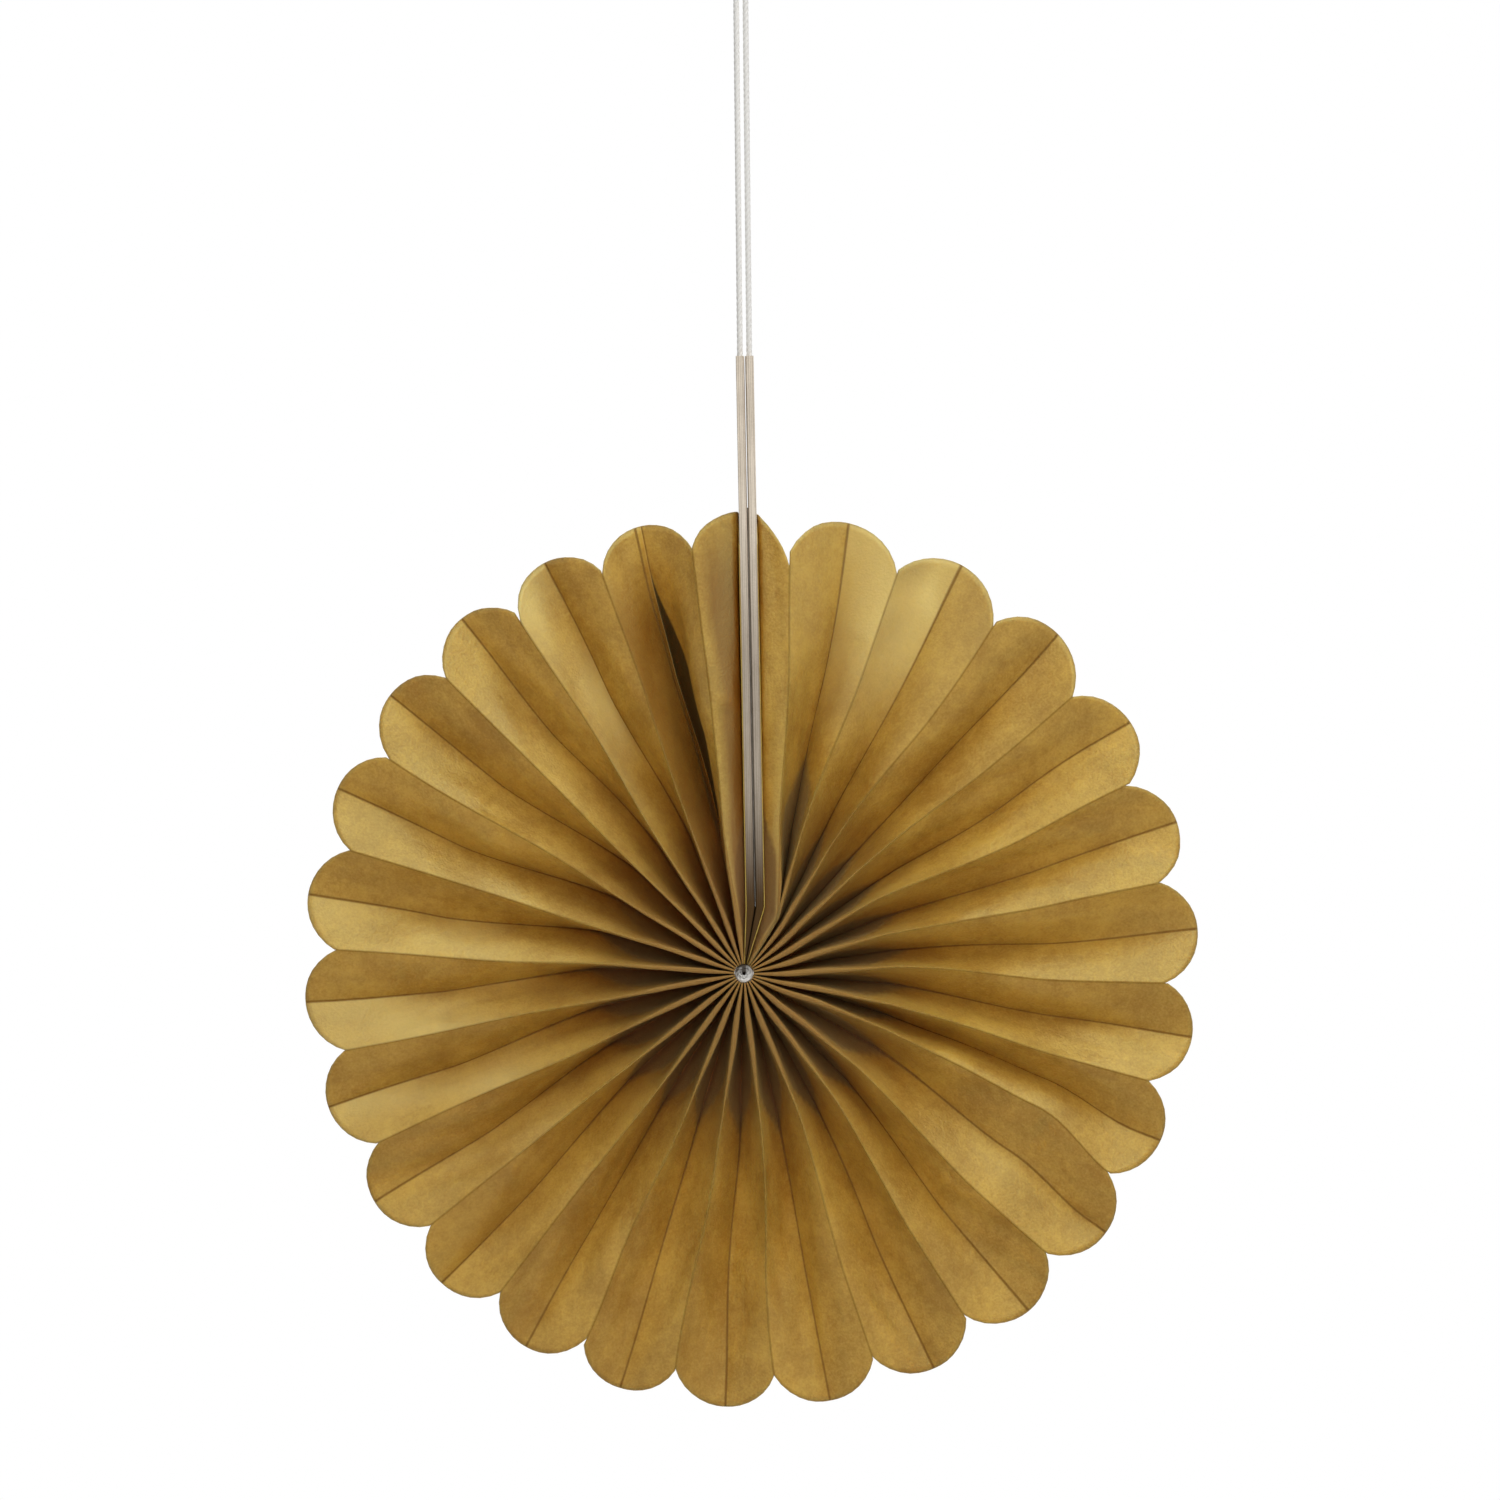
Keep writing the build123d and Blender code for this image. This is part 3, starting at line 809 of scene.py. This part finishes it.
def card_strip(side):
    """Points and faces of one strip. At each height the outline lies between the strip's inner and
    outer face, and below the taper both run straight to the hub. The top closes round the hole."""
    across, y = rounded_outline()
    inner, outer = sorted((side * TAPE_THICKNESS / 2, side * PACK_HALF))
    taper, top = HUB_Z + STRIP_TAPER, STRIP_TOP_Z
    z = np.concatenate([np.linspace(HUB_Z + STRIP_LOW, taper, 12)[:-1],
                        np.linspace(taper, top - 0.12, 130), [top - 0.03, top]])[:, None]
    kept = np.minimum((z - HUB_Z) / STRIP_TAPER, 1)
    settle = np.ones_like(z)
    settle[-1] = 0.93  # the top's edges are eased
    axis = strip_axis(np.maximum(z, taper))
    rough = waves(1, 0.05, 26)(0, z + 300) + waves(1, 0.03, 90)(0, z + 300)
    width = (outer - inner) * (0.5 + (across - 0.5) * settle)
    x = HUB_X + (axis + inner + width - HUB_X) * kept
    inner_half = side * (across - 0.5) < 0
    x = x - side * FOOT_CLOSER * ramp(TAPE_LOW + 1.5, TAPE_LOW, z - HUB_Z) * inner_half
    x = x + side * EDGE_APART * ramp(-3.6, -4.6, y) * inner_half
    deep = y * (1 - 0.004 * (1 - settle)) + np.sign(y) * rough * (np.abs(y) > STRIP_WIDTH / 2 - CORNER)
    body = np.stack([x, deep * np.ones_like(x), z * np.ones_like(x)], -1)
    centre_x = side * STRAND_X
    angle = np.arctan2(body[-1, :, 1], body[-1, :, 0] - centre_x)
    hole = [np.stack([centre_x + HOLE_RADIUS * np.cos(angle), HOLE_RADIUS * np.sin(angle),
                      np.full(len(angle), level)], -1) for level in (top, top - 0.3, top - HOLE_DEPTH)]
    grid = np.concatenate([body, hole])
    count = grid.shape[0] * grid.shape[1]
    points = np.concatenate([grid.reshape(-1, 3), [body[0].mean(0)], [hole[-1].mean(0)]])
    ring = np.arange(len(y))
    faces = [grid_faces(len(grid), len(y))[:, ::-1], cap_faces(ring[::-1], count),
             cap_faces(ring + count - len(y), count + 1)]
    plies = np.concatenate([np.tile(across, len(grid)), [0.5, 0.5]])
    return points, faces, {"ply_place": plies, "height": points[:, 2] - HUB_Z}


# %% Grey board
def grey_board(v):
    """Greyish beige board: thin plies along the cut edge, fibres along the strip, and darker and
    browner with painted shade low between the petals and towards the hub."""
    height = v.attribute("height")
    on_edge = v.node("ShaderNodeCombineXYZ", None, {"X": v.attribute("ply_place"), "Y": 0.02 * height})
    ply = v.node("ShaderNodeTexWave", {"wave_type": "BANDS", "bands_direction": "X"},
                 {"Vector": on_edge, "Scale": 1.1, "Distortion": 1.6, "Detail": 3.0, "Detail Scale": 2.0})
    fibre = v.noise(900, 4, (1, 1, 0.16))
    speck = v.noise(2600, 3)
    tone = 0.35 * ply + 0.55 * fibre + 0.25 * speck
    colour = tone.fade(0.32, 0.86).mix((0.60, 0.515, 0.41, 1), (0.90, 0.79, 0.65, 1))
    # painted shade where the strips run between the petals and near the hub
    between = 0.46 * (1 - height.fade(48, 80)) + 0.51 * (1 - height.fade(10, 34))
    colour = between.mix(colour, (0.06, 0.025, 0.0, 1))
    return {"Base Color": colour, "Roughness": 0.9, "Specular IOR Level": 0.05,
            "Normal": (fibre + 0.6 * speck).bump(0.00012)}


board_finish = finish_of("grey_board", grey_board)
for side, name in ((LEFT, "left"), (RIGHT, "right")):
    points, faces, values = card_strip(side)
    make_piece(f"{name}_board_strip", points, faces, board_finish,
               [f"{name}_card_strip"], values)

# %% [markdown]
# ## Tape between the strips
# Clear double-sided tape is hidden between the strips, apart from its edges. The solid has the
# right shape, so it stays and only gets a finish.

# %% The tape's finish
def clear_tape(v):
    """Yellowish clear tape, with dust caught along it."""
    dust = v.noise(1400, 3, (1, 1, 0.3))
    return {"Base Color": dust.fade(0.35, 0.75).mix((0.36, 0.32, 0.26, 1), (0.20, 0.17, 0.13, 1)),
            "Roughness": 0.4 + 0.3 * dust, "Normal": dust.bump(0.00003)}


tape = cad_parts["joining_tape"]
tape.data.materials.clear()
tape.data.materials.append(finish_of("clear_tape_edge", clear_tape))

# %% [markdown]
# ## Thread in the eye
# White thread holds the inner ends of the folds together: it is wound into a small ring in front,
# runs back through the eye as two strands and is knotted behind. The winding is one line that goes
# round the ring several times while it creeps round the ring's own section. A few more turns lie
# inside the ring.

# %% Tubes along any line
def round_tube(line, radius, closed, around=10):
    """A round profile carried along a line in space. Its side direction is the line's own crossed
    with one fixed direction, which none of these lines runs along."""
    along = np.roll(line, -1, 0) - np.roll(line, 1, 0) if closed else np.gradient(line, axis=0)
    along /= np.linalg.norm(along, axis=1, keepdims=True)
    aside = np.cross(along, [0.31, 0.87, 0.38])
    aside /= np.linalg.norm(aside, axis=1, keepdims=True)
    above = np.cross(along, aside)
    turn = np.linspace(0, 2 * np.pi, around, endpoint=False)[None, :, None]
    points = line[:, None] + radius * (np.cos(turn) * aside[:, None] + np.sin(turn) * above[:, None])
    if closed:
        points = np.concatenate([points, points[:1]])
        return points.reshape(-1, 3), [grid_faces(len(points), around)]
    count = len(line) * around
    ring = np.arange(around)
    points = np.concatenate([points.reshape(-1, 3), line[[0, -1]]])
    return points, [grid_faces(len(line), around), cap_faces(ring, count),
                    cap_faces(ring[::-1] + count - around, count + 1)]


# %% The wound thread
RING_RADIUS, RING_THICKNESS, THREAD_DIAMETER = 1.2, 0.7, 0.3
INNER_RADIUS = 0.62  # of the turns inside the ring
RING_Y, KNOT_Y = -4.55, 3.45
KNOT_RADIUS = 1.55


def wound_ring(ring_radius, ring_y, rounds, creep, count=700):
    """A line that runs round a ring's circle so many times while it creeps round the ring's
    section so many times: a torus knot."""
    t = np.linspace(0, 2 * np.pi, count, endpoint=False)
    section = (RING_THICKNESS - THREAD_DIAMETER) / 2
    radius = ring_radius + section * np.cos(creep * t)
    return np.stack([HUB_X + radius * np.sin(rounds * t), ring_y + section * np.sin(creep * t),
                     HUB_Z + radius * np.cos(rounds * t)], -1)


def knot_line(count=420):
    """A ball of thread: a line that winds round a small ball while its axis turns."""
    t = np.linspace(0, 2 * np.pi, count, endpoint=False)
    ball = KNOT_RADIUS - THREAD_DIAMETER / 2
    tilt = 1.45 * np.sin(3 * t)
    return np.stack([HUB_X + ball * np.cos(tilt) * np.cos(7 * t), KNOT_Y + ball * np.sin(tilt),
                     HUB_Z + ball * np.cos(tilt) * np.sin(7 * t)], -1)


thread_lines = [(wound_ring(RING_RADIUS, RING_Y, 5, 3), True), (knot_line(), True),
                (wound_ring(INNER_RADIUS, RING_Y + 0.1, 3, 5), True)]
for side in (LEFT, RIGHT):
    ends = np.array([[HUB_X + side * RING_RADIUS, RING_Y, HUB_Z], [HUB_X + side * 0.2, KNOT_Y, HUB_Z]])
    thread_lines.append((evenly(ends, 0.4), False))
thread_points, thread_faces = [], []
for line, closed in thread_lines:
    points, faces = round_tube(line, THREAD_DIAMETER / 2, closed)
    start = sum(len(group) for group in thread_points)
    thread_points.append(points)
    thread_faces += [group + start for group in faces]
thread_points = np.concatenate(thread_points)
print(f"thread: {len(thread_lines)} lines")

# %% Soil and painted shade on the thread
ring_x, ring_z = thread_points[:, 0] - HUB_X, thread_points[:, 2] - HUB_Z
ring_angle = np.arctan2(ring_x, ring_z)
crumbs = 0.3 * np.sin(5 * ring_angle + 1) * np.sin(3 * ring_angle + 9 * np.hypot(ring_x, ring_z))
# Painted shade darkens the ring's top and the thread deep in the eye.
painted_top_shade = 0.95 * ramp(0.6, 0.25, np.abs(ring_x)) * ramp(-0.25, 0.1, ring_z)  # the ring's dark top
painted_eye_shade = ramp(-4.2, -3.5, thread_points[:, 1])
# soil and painted shade together: darker towards the top and the left, with crumbs of soil
soil_and_painted_shade = np.maximum(0.45 - 0.18 * ring_x + 0.28 * ring_z + crumbs, painted_top_shade)
soil_and_painted_shade = np.clip(np.maximum(soil_and_painted_shade, painted_eye_shade), 0.1, 0.97)
make_piece("wound_thread", thread_points, thread_faces, cotton_finish,
           ["centre_thread"], {"between_plies": np.full(len(thread_points), 0.2), "soil_and_painted_shade": soil_and_painted_shade})

# %% [markdown]
# ## Floor, light and background
# A large soft light stands high and a little to the right, a weaker one stands in front, and one
# behind lights the back. The white surroundings fill the shade, and to the camera they are plain
# white. The floor lies below the view.

# %% Floor
FLOOR_Z = -420.0
FLOOR_SIDES = 96


def pale_floor(v):
    """Nearly white, with a faint grain."""
    grain = v.noise(40, 3)
    return {"Base Color": grain.mix((0.80, 0.80, 0.79, 1), (0.84, 0.84, 0.83, 1)), "Roughness": 0.8}


floor_turn = np.linspace(0, 2 * np.pi, FLOOR_SIDES, endpoint=False)
floor_rings = np.array([1.0, 300.0, 900.0])[:, None]
floor_points = np.stack([floor_rings * np.cos(floor_turn), floor_rings * np.sin(floor_turn),
                         np.full((len(floor_rings), FLOOR_SIDES), FLOOR_Z)], -1).reshape(-1, 3)
floor_faces = grid_faces(len(floor_rings), FLOOR_SIDES).tolist() + [list(range(FLOOR_SIDES))]
floor_mesh = bpy.data.meshes.new("pale_floor")
floor_mesh.from_pydata(floor_points * MM, [], floor_faces)
floor_mesh.materials.append(finish_of("pale_floor", pale_floor))
floor = bpy.data.objects.new("pale_floor", floor_mesh)
scene.collection.objects.link(floor)
floor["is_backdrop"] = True

# %% Light
def soft_light(name, bearing, off_view, distance, size, power):
    """A square area lamp that faces the fan, at a bearing seen from the front and an angle away
    from the line of sight."""
    lamp = bpy.data.objects.new(name, bpy.data.lights.new(name, "AREA"))
    lamp.data.size, lamp.data.energy = size, power
    b, e = math.radians(bearing), math.radians(off_view)
    way = Vector((math.sin(e) * math.sin(b), -math.cos(e), math.sin(e) * math.cos(b)))
    lamp.location = Vector((0, 0, RIM_Z * MM)) + way * distance
    lamp.rotation_euler = (-way).to_track_quat("-Z", "Y").to_euler()
    lamp.visible_camera = False
    scene.collection.objects.link(lamp)
    print(f"{name}: {power} W, {size} m across")


soft_light("high_soft_light", bearing=18, off_view=64, distance=1.2, size=1.0, power=9.5)
soft_light("front_soft_light", bearing=0, off_view=16, distance=1.4, size=1.0, power=4.4)
soft_light("rear_soft_light", bearing=0, off_view=176, distance=1.0, size=1.6, power=14)

# %% White surroundings
FILL = 0.2  # how strongly they light the fan, where 1 is the white that the camera sees

world = bpy.data.worlds.new("white_surroundings")
world.use_nodes = True
world.node_tree.nodes.clear()
sky = Value(world.node_tree)
rays = [sky.node("ShaderNodeLightPath", output=name) for name in
        ("Is Camera Ray", "Is Glossy Ray", "Is Transmission Ray")]
seen = sky.math("MINIMUM", rays[0] + rays[1] + rays[2], 1.0)
glow = sky.node("ShaderNodeBackground", None,
                {"Color": (1, 1, 1, 1), "Strength": FILL + (1 - FILL) * seen})
sky.node("ShaderNodeOutputWorld", None, {"Surface": glow})
scene.world = world
print("surroundings:", len(world.node_tree.nodes), "nodes")

# %% [markdown]
# ## Sizes
# The sizes of the solids' box and of the dressed fan's box are printed. The dressed fan
# has to stay in the box of its solids.

# %% Sizes
dressed_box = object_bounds()
boxes = {"cad": [list(corner) for corner in cad_box], "visual": [list(corner) for corner in dressed_box]}
for name, (low, high) in boxes.items():
    print(name, [round(float(h - l) / MM, 2) for l, h in zip(low, high)])
